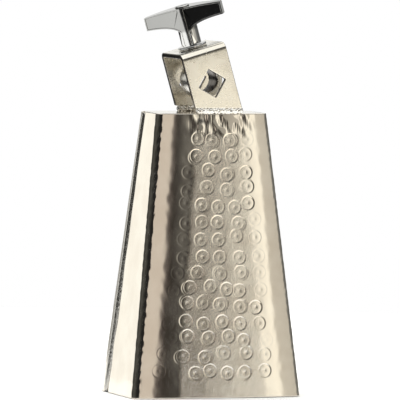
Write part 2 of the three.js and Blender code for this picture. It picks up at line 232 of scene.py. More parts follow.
class Shader:
    """One metal material and short ways to add nodes to it."""

    def __init__(self, name, roughness, color, metallic=1.0):
        self.material = bpy.data.materials.new(name)
        self.material.use_nodes = True
        self.nodes = self.material.node_tree.nodes
        self.links = self.material.node_tree.links
        self.surface = self.nodes["Principled BSDF"]
        self.surface.inputs["Metallic"].default_value = metallic
        self.surface.inputs["Roughness"].default_value = roughness
        self.surface.inputs["Base Color"].default_value = (*color, 1)
        coordinates = self.nodes.new("ShaderNodeTexCoord")
        self.place = coordinates.outputs["Object"]

    def stretched(self, x, y, z):
        """Object coordinates, scaled along each axis."""
        mapping = self.nodes.new("ShaderNodeMapping")
        mapping.inputs["Scale"].default_value = (x, y, z)
        self.links.new(self.place, mapping.inputs["Vector"])
        return mapping.outputs["Vector"]

    def noise(self, scale, detail=4, place=None):
        node = self.nodes.new("ShaderNodeTexNoise")
        node.inputs["Scale"].default_value = scale
        node.inputs["Detail"].default_value = detail
        self.links.new(place or self.place, node.inputs["Vector"])
        return node.outputs["Fac"]

    def spots(self, scale):
        node = self.nodes.new("ShaderNodeTexVoronoi")
        node.inputs["Scale"].default_value = scale
        self.links.new(self.place, node.inputs["Vector"])
        return node.outputs["Distance"]

    def remap(self, value, low, high, new_low, new_high):
        node = self.nodes.new("ShaderNodeMapRange")
        node.interpolation_type = "SMOOTHSTEP"
        node.inputs["From Min"].default_value = low
        node.inputs["From Max"].default_value = high
        node.inputs["To Min"].default_value = new_low
        node.inputs["To Max"].default_value = new_high
        self.links.new(value, node.inputs["Value"])
        return node.outputs["Result"]

    def combine(self, operation, first, second):
        node = self.nodes.new("ShaderNodeMath")
        node.operation = operation
        for socket, value in zip(node.inputs, (first, second)):
            if isinstance(value, (int, float)):
                socket.default_value = value
            else:
                self.links.new(value, socket)
        return node.outputs["Value"]

    def blend_color(self, factor, first, second):
        self.set_color(self.mix_colors(factor, first, second))

    def set_roughness(self, value):
        self.links.new(value, self.surface.inputs["Roughness"])

    def set_bump(self, height, distance, strength=1.0):
        node = self.nodes.new("ShaderNodeBump")
        node.inputs["Strength"].default_value = strength
        node.inputs["Distance"].default_value = distance
        self.links.new(height, node.inputs["Height"])
        self.links.new(node.outputs["Normal"], self.surface.inputs["Normal"])

    def axis(self, name, place=None):
        """One coordinate of a place, or of the object's own coordinates."""
        node = self.nodes.new("ShaderNodeSeparateXYZ")
        self.links.new(place or self.place, node.inputs["Vector"])
        return node.outputs[name]

    def clamp_place(self):
        """Coordinates in the clamp's own frame."""
        mapping = self.nodes.new("ShaderNodeMapping")
        mapping.vector_type = "TEXTURE"
        mapping.inputs["Location"].default_value = clamp_base
        mapping.inputs["Rotation"].default_value = (0, -lean, 0)
        self.links.new(self.place, mapping.inputs["Vector"])
        return mapping.outputs["Vector"]

    def mix_colors(self, factor, first, second):
        """A blend of two colours, each a tuple or a socket, for further mixing."""
        node = self.nodes.new("ShaderNodeMix")
        node.data_type = "RGBA"
        self.links.new(factor, node.inputs["Factor"])
        for socket, value in zip((node.inputs[6], node.inputs[7]), (first, second)):
            if isinstance(value, tuple):
                socket.default_value = (*value, 1)
            else:
                self.links.new(value, socket)
        return node.outputs[2]

    def set_color(self, value):
        self.links.new(value, self.surface.inputs["Base Color"])


def make_hammered_plate():
    """Warm nickel plate: mirror-like at the corners and sides, satin where the stamps are."""
    shader = Shader("hammered_plate", 0.1, (0.83, 0.77, 0.68))
    off_centre = shader.combine("SUBTRACT", shader.axis("X"), STAMPED_CENTRE)
    from_centre = shader.combine("ABSOLUTE", off_centre, 0)
    narrowing = shader.combine("MULTIPLY", shader.axis("Z"), 0.085)
    wander = shader.combine("MULTIPLY", shader.noise(90, 3), 0.004)
    reach = shader.combine("ADD", shader.combine("ADD", from_centre, narrowing), wander)
    across = shader.remap(reach, 25 * MM, 29.5 * MM, 1, 0)
    below = shader.remap(shader.axis("Z"), STAMPED_TOP, STAMPED_TOP + 5 * MM, 1, 0)
    satin = shader.combine("MULTIPLY", across, below)
    cloud = shader.noise(70, 4)
    rough = shader.combine("MULTIPLY", satin, 0.055)
    shader.set_roughness(shader.combine("ADD", rough, shader.remap(cloud, 0.3, 0.7, 0.06, 0.11)))
    shader.blend_color(shader.remap(cloud, 0.3, 0.7, 0, 1), (0.80, 0.74, 0.65), (0.87, 0.82, 0.73))
    grain = shader.noise(2300, 2)
    shader.set_bump(shader.combine("MULTIPLY", grain, satin), 0.00006, 1.0)
    return shader.material


def make_bracket_plate():
    """The strap's plating: fine satin with small pits and polished bends. Its sheared edges and the rims
    of its diamond holes are painted near black: painted shade over raw steel's somewhat darker tone.
    """
    shader = Shader("bracket_plate", 0.25, (0.84, 0.79, 0.69))
    place = shader.clamp_place()
    up = shader.axis("Z", place)
    from_middle = shader.combine("ABSOLUTE", shader.axis("X", place), 0)
    sheared = shader.remap(from_middle, STRAP_WIDTH / 2 - 0.30 * MM, STRAP_WIDTH / 2 - 0.16 * MM, 0, 1)
    bend_start = BRACKET_HEIGHT - BRACKET_BEND_RADIUS
    bend = shader.remap(up, bend_start - 0.6 * MM, bend_start, 0, 1)
    bright = shader.combine("MAXIMUM", sheared, bend)
    from_hole = shader.combine("ABSOLUTE", shader.combine("SUBTRACT", up, ROD_HOLE_HEIGHT), 0)
    to_corner = ROD_HOLE_SIDE / math.sqrt(2)
    off_hole = shader.combine("ADD", from_middle, from_hole)
    hole = shader.remap(off_hole, to_corner, to_corner + 0.3 * MM, 1, 0)
    # Painted shade: the sheared edges and the holes' rims turn near black, partly raw steel's darker
    # tone.
    raw_steel_and_painted_shade = shader.combine("MAXIMUM", sheared, hole)
    grain = shader.noise(2200, 3)
    pits = shader.remap(shader.spots(330), 0.0, 0.13, 0, 1)
    cloud = shader.noise(120, 4)
    satin = shader.remap(cloud, 0.3, 0.7, 0.19, 0.32)
    shader.set_roughness(shader.combine("SUBTRACT", satin, shader.combine("MULTIPLY", bright, 0.13)))
    plating = shader.mix_colors(cloud, (0.80, 0.75, 0.65), (0.90, 0.87, 0.79))
    # The near-black colour here is painted shade on the cut edges and hole rims.
    shader.set_color(shader.mix_colors(raw_steel_and_painted_shade, plating, (0.13, 0.115, 0.10)))
    shader.set_bump(shader.combine("ADD", shader.combine("MULTIPLY", grain, 0.25), pits), 0.00008, 0.7)
    return shader.material


def make_weld_metal():
    """Plated weld beads: bright, rough and uneven on the crown; down the seams painted darker, as
    painted shade of the seam's step.
    """
    shader = Shader("weld_metal", 0.2, (0.88, 0.87, 0.83))
    lumps = shader.noise(700, 4)
    at_foot = shader.remap(shader.axis("Z"), BELL_HEIGHT - 1 * MM, BELL_HEIGHT, 0.02, 1)
    shader.set_roughness(shader.remap(lumps, 0.3, 0.7, 0.12, 0.30))
    foot = shader.mix_colors(lumps, (0.70, 0.67, 0.61), (0.95, 0.94, 0.91))
    # Painted shade: below the crown the seam beads take a darker grey, standing in for the shade in the
    # seam's step.
    shader.set_color(shader.mix_colors(at_foot, (0.50, 0.485, 0.45), foot))
    shader.set_bump(shader.combine("MULTIPLY", lumps, at_foot), 0.0004, 0.9)
    return shader.material


def make_bright_chrome():
    """Polished chrome with a faint haze, painted darker on the arms as painted shade and lighter on the
    bush, washer and cap as a painted highlight.
    """
    shader = Shader("bright_chrome", 0.05, (0.36, 0.36, 0.35))
    cloud = shader.noise(90, 3)
    shader.set_roughness(shader.remap(cloud, 0.3, 0.7, 0.03, 0.09))
    up = shader.axis("Z", shader.clamp_place())
    below_arms = shader.remap(up, arm_bottom - 0.8 * MM, arm_bottom + 1.2 * MM, 1, 0)
    on_cap = shader.remap(up, handle_top + 0.1 * MM, handle_top + 0.3 * MM, 0, 1)
    # Painted highlight: the bush, washer and cap get a much lighter colour than the arms.
    painted_highlight_parts = shader.combine("MAXIMUM", below_arms, on_cap)
    # Painted shade: the arms get a darker colour than the rest of the same chrome.
    arms_painted_dark = shader.mix_colors(cloud, (0.33, 0.33, 0.32), (0.38, 0.38, 0.37))
    shader.set_color(shader.mix_colors(painted_highlight_parts, arms_painted_dark, (0.66, 0.66, 0.65)))
    shader.set_bump(shader.noise(240, 2), 0.00002, 0.4)
    return shader.material


def make_zinc_steel():
    """Zinc-plated steel, bright on the eye's faces, with painted shade in its bore: near black there."""
    shader = Shader("zinc_steel", 0.25, (0.6, 0.58, 0.54))
    place = shader.clamp_place()
    across = shader.axis("X", place)
    up = shader.combine("SUBTRACT", shader.axis("Z", place), EYE_HEIGHT)
    across_squared = shader.combine("MULTIPLY", across, across)
    up_squared = shader.combine("MULTIPLY", up, up)
    radius = shader.combine("SQRT", shader.combine("ADD", across_squared, up_squared), 0)
    bore = shader.remap(radius, EYE_BORE_RADIUS + 0.1 * MM, EYE_BORE_RADIUS + 0.7 * MM, 1, 0)
    cloud = shader.noise(180, 5)
    marks = shader.noise(60, 3, shader.stretched(1, 30, 1))
    shader.set_roughness(shader.remap(cloud, 0.3, 0.7, 0.18, 0.34))
    plating = shader.mix_colors(cloud, (0.62, 0.59, 0.53), (0.74, 0.72, 0.67))
    # Painted shade: the eye's bore is coloured near black, standing in for the shade inside it.
    painted_bore_shade = shader.mix_colors(cloud, (0.03, 0.025, 0.02), (0.11, 0.09, 0.07))
    shader.set_color(shader.mix_colors(bore, plating, painted_bore_shade))
    shader.set_bump(marks, 0.00005, 0.5)
    return shader.material


def make_floor():
    """Plain pale studio floor."""
    shader = Shader("studio_floor", 0.8, (0.93, 0.93, 0.92), 0.0)
    shader.blend_color(shader.noise(3, 2), (0.925, 0.925, 0.92), (0.935, 0.935, 0.93))
    return shader.material


hammered_plate = make_hammered_plate()
bracket_plate = make_bracket_plate()
weld_metal = make_weld_metal()
bright_chrome = make_bright_chrome()
zinc_steel = make_zinc_steel()

# ---------------------------------------------------------------- the bell's section


def section(share):
    """Half width, half depth and the seam's Y at a share of the height."""
    half_width = lerp(MOUTH_HALF_WIDTH, CROWN_HALF_WIDTH, share)
    half_depth = lerp(MOUTH_HALF_DEPTH, CROWN_HALF_DEPTH, share)
    from_rear = lerp(SEAM_FROM_REAR_AT_MOUTH, SEAM_FROM_REAR_AT_CROWN, share)
    return half_width, half_depth, half_depth - from_rear


def wall_line(share, facing, counts):
    """The outline of a shell's outside, from its right seam round to its left seam.

    facing is -1 for the front and 1 for the rear; counts are the steps of flange, corner and middle.
    The middle is almost flat, rolls off towards its ends and runs smoothly into the corners.
    """
    half_width, half_depth, seam_y = section(share)
    rear_radius = lerp(REAR_CORNER_RADIUS_AT_MOUTH, REAR_CORNER_RADIUS_AT_CROWN, share)
    radius = FRONT_CORNER_RADIUS if facing < 0 else rear_radius
    draw_in = 0 if facing < 0 else REAR_FLANGE_TILT
    roll = lerp(WALL_ROLL_AT_MOUTH, WALL_ROLL_AT_CROWN, share)
    crowning = lerp(WALL_CROWNING_AT_MOUTH, WALL_CROWNING_AT_CROWN, share)
    flange_steps, corner_steps, middle_steps = counts
    slope = 2 * crowning / (half_width - radius) + WALL_ROLL_POWER * WALL_ROLL_DROP / roll
    tilt = math.atan(slope)
    start = facing * seam_y + SEAM_HALF_WIDTH
    corner_y = half_depth - crowning - WALL_ROLL_DROP - radius * math.cos(tilt)
    flange_end = corner_y + radius * math.sin(draw_in)
    drawn = (flange_end - start) * math.tan(draw_in)
    corner_x = half_width - drawn - radius * math.cos(draw_in)
    middle_end = corner_x + radius * math.sin(tilt)
    middle = []
    for i in range(middle_steps + 1):
        across = 1 - 2 * i / middle_steps
        reach = middle_end * abs(across)
        rolled = max(0.0, 1 - (middle_end - reach) / roll)
        drop = crowning * across * across + WALL_ROLL_DROP * rolled ** WALL_ROLL_POWER
        middle.append((middle_end * across, half_depth - drop))
    flange = []
    for i in range(flange_steps):
        along = i / flange_steps
        flange.append((half_width - drawn * along, lerp(start, flange_end, along)))
    corner = []
    for i in range(corner_steps):
        angle = lerp(draw_in, math.pi / 2 - tilt, i / corner_steps)
        corner.append((corner_x + radius * math.cos(angle), corner_y + radius * math.sin(angle)))
    right = flange + corner
    left = [(-x, y) for x, y in reversed(right)]
    points = np.array(right + middle + left)
    points[:, 1] *= facing
    return points


# ---------------------------------------------------------------- stamped rings

STAMP_ROWS = 15
STAMP_TOP = 138.5 * MM
STAMP_ROW_PITCH = 8.9 * MM
STAMP_PITCH = 10.4 * MM
STAMP_JITTER = 1.5 * MM
STAMP_RADIUS = 4.0 * MM
STAMP_STEP = 0.072 * MM
STAMP_SLOPE = 0.55 * MM
STAMP_GROOVE_INSET = 0.75 * MM
STAMP_GROOVE_WIDTH = 0.34 * MM
STAMP_PIT = 0.085 * MM
STAMP_PIT_RADIUS = 0.95 * MM
# The first and last stamp of a row, at the top row and at the bottom row.
STAMP_LEFT = (-11 * MM, -31 * MM)
STAMP_RIGHT = (17 * MM, 27 * MM)
FAINT_STRENGTH = 0.16
SECOND_STRENGTH = 0.55


def stamp_places(seed, mirror):
    """Stamps on one wall, as (x, z, strength): rows that widen downwards.

    They turn faint outside the stamped zone; some of the strong ones are struck twice.
    """
    dice = random.Random(seed)
    places = []
    for row in range(STAMP_ROWS):
        z = STAMP_TOP - row * STAMP_ROW_PITCH
        down = row / (STAMP_ROWS - 1)
        low = lerp(*STAMP_LEFT, down)
        high = lerp(*STAMP_RIGHT, down)
        count = round((high - low) / STAMP_PITCH) + 1
        shift = dice.uniform(-0.25, 0.25) * STAMP_PITCH
        for i in range(count):
            x = lerp(low, high, i / (count - 1)) + shift + dice.uniform(-1, 1) * STAMP_JITTER
            height = z + dice.uniform(-1, 1) * STAMP_JITTER
            outside = abs(x - STAMPED_CENTRE) - lerp(*STAMPED_REACH, height / BELL_HEIGHT)
            faded = min(max(outside / STAMPED_FADE, 0), 1)
            strength = dice.uniform(0.75, 1.15) * lerp(1, FAINT_STRENGTH, faded)
            places.append((mirror * x, height, strength))
            if strength > 0.5 and dice.random() < 0.4:
                turn = dice.uniform(-0.9, 0.9) + (0 if dice.random() < 0.5 else math.pi)
                slip = dice.uniform(0.7, 1.3) * MM
                slipped = (mirror * x + slip * math.cos(turn), height + slip * math.sin(turn))
                places.append((*slipped, SECOND_STRENGTH))
    return places


def stamp_depth(distance):
    """How far a stamp presses the sheet in: a shallow round flat with a groove at its edge and a pit."""
    flat = 1 - np.clip((distance - STAMP_RADIUS) / STAMP_SLOPE + 1, 0, 1)
    groove = np.exp(-((distance - STAMP_RADIUS + STAMP_GROOVE_INSET) / STAMP_GROOVE_WIDTH) ** 2)
    pit = np.exp(-(distance / STAMP_PIT_RADIUS) ** 2)
    return -STAMP_STEP * flat - 0.3 * STAMP_STEP * groove - STAMP_PIT * pit


def press_stamps(across, height, places):
    """The deepest stamp at each surface point given by two arrays."""
    total = np.zeros_like(across)
    reach = 1.2 * STAMP_RADIUS
    for x, z, strength in places:
        near = (np.abs(across - x) < reach) & (np.abs(height - z) < reach)
        distance = np.hypot(across[near] - x, height[near] - z)
        total[near] = np.minimum(total[near], strength * stamp_depth(distance))
    return total


# ---------------------------------------------------------------- the two shells

RIM_ROUND = 0.45 * MM
RIM_ROWS = (0.12, 0.28, 0.5, 0.8)
RIM_ROWS_SPREAD = 1.3
FOOT_SWELL_REACH = (21 * MM, 12 * MM)
FOOT_SWELL_TOP = 144.5 * MM


def rounding(distance):
    """How far a rounded edge falls back at a distance from the edge."""
    near = np.clip(RIM_ROUND - distance, 0, RIM_ROUND)
    return RIM_ROUND - np.sqrt(RIM_ROUND ** 2 - near ** 2)


def shell_relief(x, y, z, normal_x, facing):
    """Height of the hammered surface over the plain shell: never above it.

    It has slow swells and dents, crumpled corners on the front shell, stamps, and vertical streaks
    and swells under the bracket's foot.
    """
    side = smooth_step(0.55, 0.95, np.abs(normal_x))
    slow = value_noise(x / (17 * MM), y / (17 * MM), z / (26 * MM), 11)
    dents = value_noise(x / (5 * MM), y / (5 * MM), z / (9 * MM), 12)
    relief = 0.030 * MM * slow + (1 - side) * 0.007 * MM * dents
    if facing < 0:
        corner = smooth_step(0.14, 0.34, np.abs(normal_x)) * smooth_step(0.991, 0.955, np.abs(normal_x))
        coarse_crumple = value_noise(x / (2.4 * MM), y / (2.4 * MM), z / (5.5 * MM), 14)
        fine_crumple = value_noise(x / (0.8 * MM), y / (0.8 * MM), z / (0.8 * MM), 16)
        relief += corner * (0.055 * MM * coarse_crumple + 0.013 * MM * fine_crumple)
    relief += (1 - side) * press_stamps(x, z, stamp_places(20 + facing, -facing))
    streaks = value_noise(x / (1.3 * MM), 0 * y, z / (7 * MM), 15)
    swells = value_noise(x / (5.5 * MM), 0 * y, z / (9 * MM), 21)
    near_foot = smooth_step(*FOOT_SWELL_REACH, np.abs(x - clamp_base.x))
    under_foot = near_foot * smooth_step(STAMPED_TOP, FOOT_SWELL_TOP, z)
    relief += (0.014 * MM * streaks + 0.17 * MM * swells) * under_foot * (1 - side)
    return np.minimum(relief - 0.10 * MM, 0)


SEAM_MARGIN_AT_MOUTH = 4.5 * MM
SEAM_MARGIN_AT_CROWN = 2.6 * MM
SEAM_STEP_AT_MOUTH = 1.5 * MM
SEAM_STEP_AT_CROWN = 0.8 * MM


def seam_step(y, z, normal_x, facing):
    """How far the front shell's margin is set in, so that the seam weld lies in a step."""
    if facing > 0:
        return np.zeros_like(z)
    share = z / BELL_HEIGHT
    edge = lerp(section(0)[2], section(1)[2], share) - SEAM_HALF_WIDTH
    margin = lerp(SEAM_MARGIN_AT_MOUTH, SEAM_MARGIN_AT_CROWN, share)
    margin = margin * (1 + 0.28 * value_noise(0 * z, 0 * z, z / (19 * MM), 17))
    near = np.clip(1 - (edge - y) / margin, 0, 1)
    side = smooth_step(0.7, 0.98, np.abs(normal_x))
    return side * lerp(SEAM_STEP_AT_MOUTH, SEAM_STEP_AT_CROWN, share) * near ** 1.4


SIDE_STAMP_Y = -4 * MM
SIDE_STAMP_ROWS = range(7, 12)
SIDE_STAMP_STRENGTH = 0.32


def side_stamps(y, z, normal_x):
    """A short column of faint stamps on the lower half of each narrow side."""
    heights = [STAMP_TOP - i * STAMP_ROW_PITCH for i in SIDE_STAMP_ROWS]
    places = [(SIDE_STAMP_Y, height, SIDE_STAMP_STRENGTH) for height in heights]
    side = smooth_step(0.7, 0.98, np.abs(normal_x))
    return side * press_stamps(y, z, places)


def make_shell(name, node, facing, counts, rows, coarse):
    """One pressed shell: a fine outside, a coarser inside and a closed rim between them.

    counts are the outside's steps of flange, corner and middle; the inside keeps one row and one
    column in every coarse.
    """
    mouth = wall_line(0, facing, counts)
    crown = wall_line(1, facing, counts)
    even = np.linspace(0, BELL_HEIGHT, rows + 1 - 2 * len(RIM_ROWS))
    edge = np.array(RIM_ROWS) * RIM_ROUND * RIM_ROWS_SPREAD
    heights = np.unique(np.concatenate([even, edge, BELL_HEIGHT - edge]))
    share = (heights / BELL_HEIGHT)[:, None]
    x = lerp(mouth[None, :, 0], crown[None, :, 0], share)
    y = lerp(mouth[None, :, 1], crown[None, :, 1], share)
    z = np.repeat(heights[:, None], mouth.shape[0], axis=1)
    along_u = np.stack([np.gradient(x, axis=1), np.gradient(y, axis=1), np.zeros_like(z)], axis=-1)
    rise = np.column_stack([crown - mouth, np.full(len(mouth), BELL_HEIGHT)])
    normal = np.cross(along_u, np.broadcast_to(rise, along_u.shape))
    normal /= np.linalg.norm(normal, axis=-1, keepdims=True)
    outward = np.sign(normal[0, len(mouth) // 2, 1] * facing)
    normal *= outward
    relief = shell_relief(x, y, z, normal[..., 0], facing) + side_stamps(y, z, normal[..., 0])
    relief -= rounding(z) + rounding(BELL_HEIGHT - z)
    set_in = seam_step(y, z, normal[..., 0], facing)[..., None] * normal
    outer = np.stack([x, y, z], axis=-1) + normal * relief[..., None] - set_in
    outer[..., 2] = z
    plain = np.stack([x, y, z], axis=-1) - normal * SHEET - set_in
    plain[..., 2] = z

    row_count, column_count = z.shape
    inner_rows = sorted(set(range(0, row_count, coarse)) | {row_count - 1})
    inner_columns = sorted(set(range(0, column_count, coarse)) | {column_count - 1})
    inner = plain[np.ix_(inner_rows, inner_columns)]
    vertices = np.concatenate([outer.reshape(-1, 3), inner.reshape(-1, 3)])
    base = row_count * column_count
    width = len(inner_columns)

    def out(i, j):
        return i * column_count + j

    def ins(i, j):
        return base + i * width + j

    faces = []
    for i in range(row_count - 1):
        for j in range(column_count - 1):
            faces.append((out(i, j), out(i, j + 1), out(i + 1, j + 1), out(i + 1, j)))
    for i in range(len(inner_rows) - 1):
        for j in range(width - 1):
            faces.append((ins(i, j), ins(i + 1, j), ins(i + 1, j + 1), ins(i, j + 1)))
    for i, inner_i in ((0, 0), (row_count - 1, len(inner_rows) - 1)):
        for j in range(width - 1):
            strip = [out(i, k) for k in range(inner_columns[j], inner_columns[j + 1] + 1)]
            loop = strip + [ins(inner_i, j + 1), ins(inner_i, j)]
            faces.append(tuple(reversed(loop)) if i == 0 else tuple(loop))
    for j, inner_j in ((0, 0), (column_count - 1, width - 1)):
        for i in range(len(inner_rows) - 1):
            strip = [out(k, j) for k in range(inner_rows[i], inner_rows[i + 1] + 1)]
            loop = strip + [ins(i + 1, inner_j), ins(i, inner_j)]
            faces.append(tuple(loop) if j == 0 else tuple(reversed(loop)))
    if outward < 0:
        faces = [tuple(reversed(face)) for face in faces]
    return new_piece(name, vertices, faces, "bell", hammered_plate, (node,))


make_shell("stamped_front_shell", "front_shell", -1, (48, 16, 320), 520, 8)
make_shell("stamped_rear_shell", "rear_shell", 1, (8, 14, 200), 320, 8)

# ---------------------------------------------------------------- the bracket

PROFILE_STEPS = 14


def arc(centre_x, centre_y, radius, start, end, steps=PROFILE_STEPS):
    """Points of an arc, with its angles in degrees."""
    points = []
    for i in range(steps + 1):
        angle = math.radians(lerp(start, end, i / steps))
        points.append((centre_x + radius * math.cos(angle), centre_y + radius * math.sin(angle)))
    return points


def prism(points, low, high, place):
    """A bmesh prism of a closed outline; place turns (u, v, along) into a point."""
    work = bmesh.new()
    near = [work.verts.new(place(u, v, low)) for u, v in points]
    far = [work.verts.new(place(u, v, high)) for u, v in points]
    count = len(points)
    work.faces.new(near)
    work.faces.new(list(reversed(far)))
    for i in range(count):
        j = (i + 1) % count
        work.faces.new((near[j], near[i], far[i], far[j]))
    bmesh.ops.recalc_face_normals(work, faces=work.faces)
    return work


def object_from(work, name):
    mesh = bpy.data.meshes.new(name)
    work.to_mesh(mesh)
    work.free()
    thing = bpy.data.objects.new(name, mesh)
    bpy.context.scene.collection.objects.link(thing)
    return thing


def carve(body, tool, operation="DIFFERENCE"):
    """Applies an exact boolean and removes the tool."""
    modifier = body.modifiers.new("carve", "BOOLEAN")
    modifier.object = tool
    modifier.operation = operation
    modifier.solver = "EXACT"
    apply_modifiers(body)
    bpy.data.objects.remove(tool)


def soften(body, width, segments=3, angle=25):
    """Rounds the edges and keeps the flat faces flat in the shading."""
    for polygon in body.data.polygons:
        polygon.use_smooth = True
    modifier = body.modifiers.new("soften", "BEVEL")
    modifier.width = width
    modifier.segments = segments
    modifier.limit_method = "ANGLE"
    modifier.angle_limit = math.radians(angle)
    modifier.harden_normals = True
    modifier.use_clamp_overlap = True
    apply_modifiers(body)


def diamond(side, radius):
    """A square with rounded corners, standing on one corner."""
    reach = math.sqrt(2) * (side / 2 - radius)
    points = []
    for turn in (45, 135, 225, 315):
        middle = math.radians(turn + 45)
        points += arc(reach * math.cos(middle), reach * math.sin(middle), radius, turn, turn + 90, 6)
    return points


def make_bracket():
    """The strap, bent over twice, with a diamond hole in each leg and a bolt hole on top."""
    half = CROWN_HALF_DEPTH
    inside = half - STRAP_THICKNESS
    inner_radius = BRACKET_BEND_RADIUS - STRAP_THICKNESS
    bend = BRACKET_HEIGHT - BRACKET_BEND_RADIUS
    outline = [(half, 0)]
    outline += arc(half - BRACKET_BEND_RADIUS, bend, BRACKET_BEND_RADIUS, 0, 90)
    outline += arc(BRACKET_BEND_RADIUS - half, bend, BRACKET_BEND_RADIUS, 90, 180)
    outline += [(-half, 0), (-inside, 0)]
    outline += arc(inner_radius - inside, bend, inner_radius, 180, 90)
    outline += arc(inside - inner_radius, bend, inner_radius, 90, 0)
    outline += [(inside, 0)]

    def place(y, z, x):
        foot = (FOOT_HEIGHT - x * math.sin(lean)) / math.cos(lean)
        return (x, y, foot if z == 0 else z)

    strap = object_from(prism(outline, -STRAP_WIDTH / 2, STRAP_WIDTH / 2, place), "strap_bracket")
    hole = prism(diamond(ROD_HOLE_SIDE, ROD_HOLE_CORNER_RADIUS), -2 * half, 2 * half,
                 lambda u, v, along: (u, along, v + ROD_HOLE_HEIGHT))
    carve(strap, object_from(hole, "diamond_tool"))
    bolt_hole = prism(arc(0, 0, BOLT_HOLE_RADIUS, 0, 354, 59), bend, BRACKET_HEIGHT + half,
                      lambda u, v, along: (u, v, along))
    carve(strap, object_from(bolt_hole, "bolt_hole_tool"))
    soften(strap, STRAP_EDGE_RADIUS)
    strap.data.transform(clamp_matrix)
    finish_piece(strap, "bell", bracket_plate, ("mount_bracket",))


make_bracket()

# ---------------------------------------------------------------- welds


def bead(name, node, path, outline, up, lumps, seed):
    """A lumpy weld bead along a straight path, pinched shut at both ends.

    outline is the bead's section, as distances across the path and along up.
    """
    start, end = Vector(path[0]), Vector(path[1])
    along = (end - start).normalized()
    across = along.cross(Vector(up)).normalized()
    up = across.cross(along).normalized()
    length = (end - start).length
    steps = max(24, int(length / (0.35 * MM)))
    count = len(outline)
    vertices = [start]
    for i in range(1, steps):
        travel = i / steps
        closing = math.sqrt(max(0.0, 1 - abs(2 * travel - 1) ** 24))
        spot = np.array([travel * length / (1.7 * MM)])
        for k, (side, rise) in enumerate(outline):
            angle = 2 * math.pi * k / count
            turn = np.array([math.cos(angle)]), np.array([math.sin(angle)])
            ripple = float(value_noise(spot, *turn, seed)[0])
            swell = closing * (1 + lumps * ripple)
            vertices.append(start + along * (travel * length) + (across * side + up * rise) * swell)
    vertices.append(end)
    last = len(vertices) - 1
    faces = []
    for k in range(count):
        nxt = (k + 1) % count
        faces.append((0, 1 + nxt, 1 + k))
        faces.append((last, 1 + (steps - 2) * count + k, 1 + (steps - 2) * count + nxt))
        for i in range(steps - 2):
            a, b = 1 + i * count, 1 + (i + 1) * count
            faces.append((a + k, a + nxt, b + nxt, b + k))
    return new_piece(name, vertices, faces, "bell", weld_metal, (node,))


for facing, node in ((-1, "bracket_weld_front"), (1, "bracket_weld_rear")):
    low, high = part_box(node)
    y = facing * (CROWN_HALF_DEPTH - STRAP_THICKNESS / 2)
    z = BELL_HEIGHT + FOOT_HEIGHT / 2
    bead(node.replace("weld", "bead"), node, ((low[0], y, z), (high[0], y, z)),
         arc(0, 0, FOOT_BEAD_RADIUS, 0, 342, 19), (0, 0, 1), 0.24, 31 + facing)

# The seam's fillet climbs from the set-in margin of the front shell to the rear shell's surface.
# Its section in millimetres, as distances out of the side and towards the rear.
SEAM_FILLET = (
    (-1.3, -1.9), (0.2, -1.35), (0.75, 0.2), (1.0, 1.2), (0.85, 1.45), (-1.0, 1.45), (-1.6, 0),
)
SEAM_FILLET_INSET = 0.8 * MM

for side, node in ((-1, "seam_weld_left"), (1, "seam_weld_right")):
    ends = []
    for share in (0.002, 0.998):
        half_width, _, seam_y = section(share)
        ends.append((side * (half_width - SEAM_FILLET_INSET), seam_y, share * BELL_HEIGHT))
    outline = [(-side * across * MM, rise * MM) for across, rise in SEAM_FILLET]
    if side > 0:
        outline.reverse()
    bead(node.replace("weld", "bead"), node, ends, outline, (0, 1, 0), 0.012, 41 + side)

# ---------------------------------------------------------------- turned parts of the clamp


def turned(name, profile, body, material, nodes, axis="Z", steps=96, centre=(0, 0, 0)):
    """A closed body turned about the clamp's Z, or about Y through a centre."""
    vertices, faces = [], []
    count = len(profile)
    for i in range(steps):
        angle = 2 * math.pi * i / steps
        for radius, height in profile:
            if axis == "Z":
                point = (radius * math.cos(angle), radius * math.sin(angle), height)
            else:
                point = (radius * math.cos(angle), height, radius * math.sin(angle))
            vertices.append(clamp_matrix @ (Vector(point) + Vector(centre)))
    for i in range(steps):
        j = (i + 1) % steps
        for k in range(count):
            m = (k + 1) % count
            faces.append((i * count + k, j * count + k, j * count + m, i * count + m))
    work = bmesh.new()
    mesh = bpy.data.meshes.new(name)
    mesh.from_pydata([tuple(v) for v in vertices], [], faces)
    work.from_mesh(mesh)
    bmesh.ops.remove_doubles(work, verts=work.verts, dist=1e-7)
    bmesh.ops.recalc_face_normals(work, faces=work.faces)
    work.to_mesh(mesh)
    work.free()
    piece = bpy.data.objects.new(name, mesh)
    bpy.context.scene.collection.objects.link(piece)
    finish_piece(piece, body, material, nodes)
    return piece


def ring_profile(inner, outer, low, high, radius, steps=5):
    """The section of a ring with four rounded edges."""
    return (arc(outer - radius, low + radius, radius, -90, 0, steps)
            + arc(outer - radius, high - radius, radius, 0, 90, steps)
            + arc(inner + radius, high - radius, radius, 90, 180, steps)
            + arc(inner + radius, low + radius, radius, 180, 270, steps))


eye_profile = ring_profile(EYE_BORE_RADIUS, EYE_BORE_RADIUS + EYE_WALL,
                           -EYE_HALF_DEPTH, EYE_HALF_DEPTH, EYE_EDGE_RADIUS)
turned("eye_ring", eye_profile, "clamp_bolt", zinc_steel, ("eye_bolt",),
       axis="Y", centre=(0, 0, EYE_HEIGHT))


